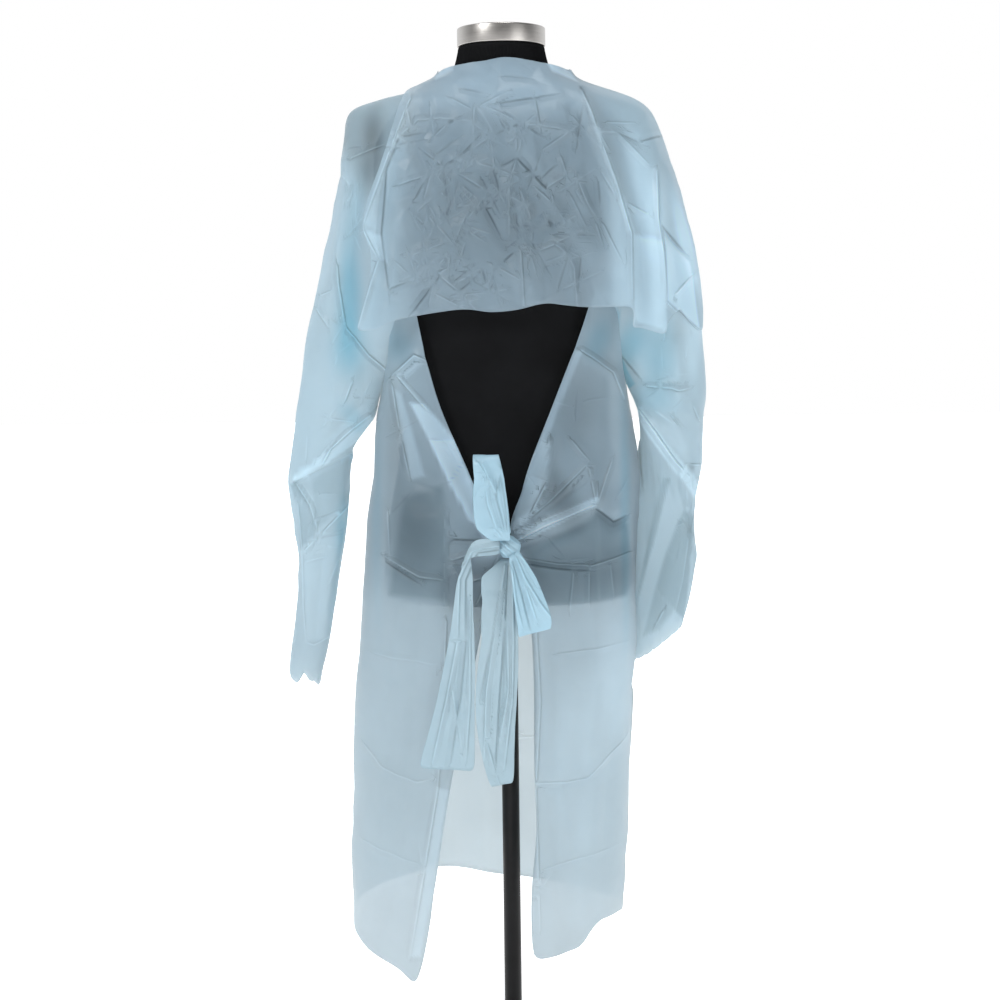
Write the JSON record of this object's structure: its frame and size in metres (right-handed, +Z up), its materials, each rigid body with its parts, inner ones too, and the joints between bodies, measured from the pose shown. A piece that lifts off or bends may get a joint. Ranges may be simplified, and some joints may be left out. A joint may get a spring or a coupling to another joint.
{
  "type": "isolation gown on a dress form",
  "caption": "Over-the-head isolation gown of thin film with an open back, wide sleeves and a tied waist, on a limbless dress form with a round foot.",
  "frame": {"origin": "middle of the foot's flat underside, on the pole's axis", "axes": "+Z up along the pole; the gown's open back faces -Y and its front +Y; its left sleeve is on -X"},
  "size_m": [0.5781, 0.3366, 1.539],
  "materials": {
    "film": "thin crumpled translucent polyethylene film, light blue, soft sheen",
    "tie_film": "gathered layers of the same film, light blue",
    "jersey": "black stretch jersey, matt",
    "rib_knit": "black ribbed knit, matt",
    "steel": "brushed round its edge, satin",
    "black_paint": "black powder coat, satin"
  },
  "bodies": {
    "root": {"front_body": "film", "back_yoke": "film", "sleeve_left": "film", "sleeve_right": "film", "tie_knot": "tie_film", "tie_loop_upper": "tie_film", "tie_loop_lower": "tie_film", "tie_tail_left": "tie_film", "tie_tail_middle": "tie_film", "form_torso": "jersey", "form_neck": "rib_knit", "form_cap": "steel", "form_pole": "black_paint", "form_collar": "black_paint", "form_base": "black_paint"}
  },
  "joints": []
}
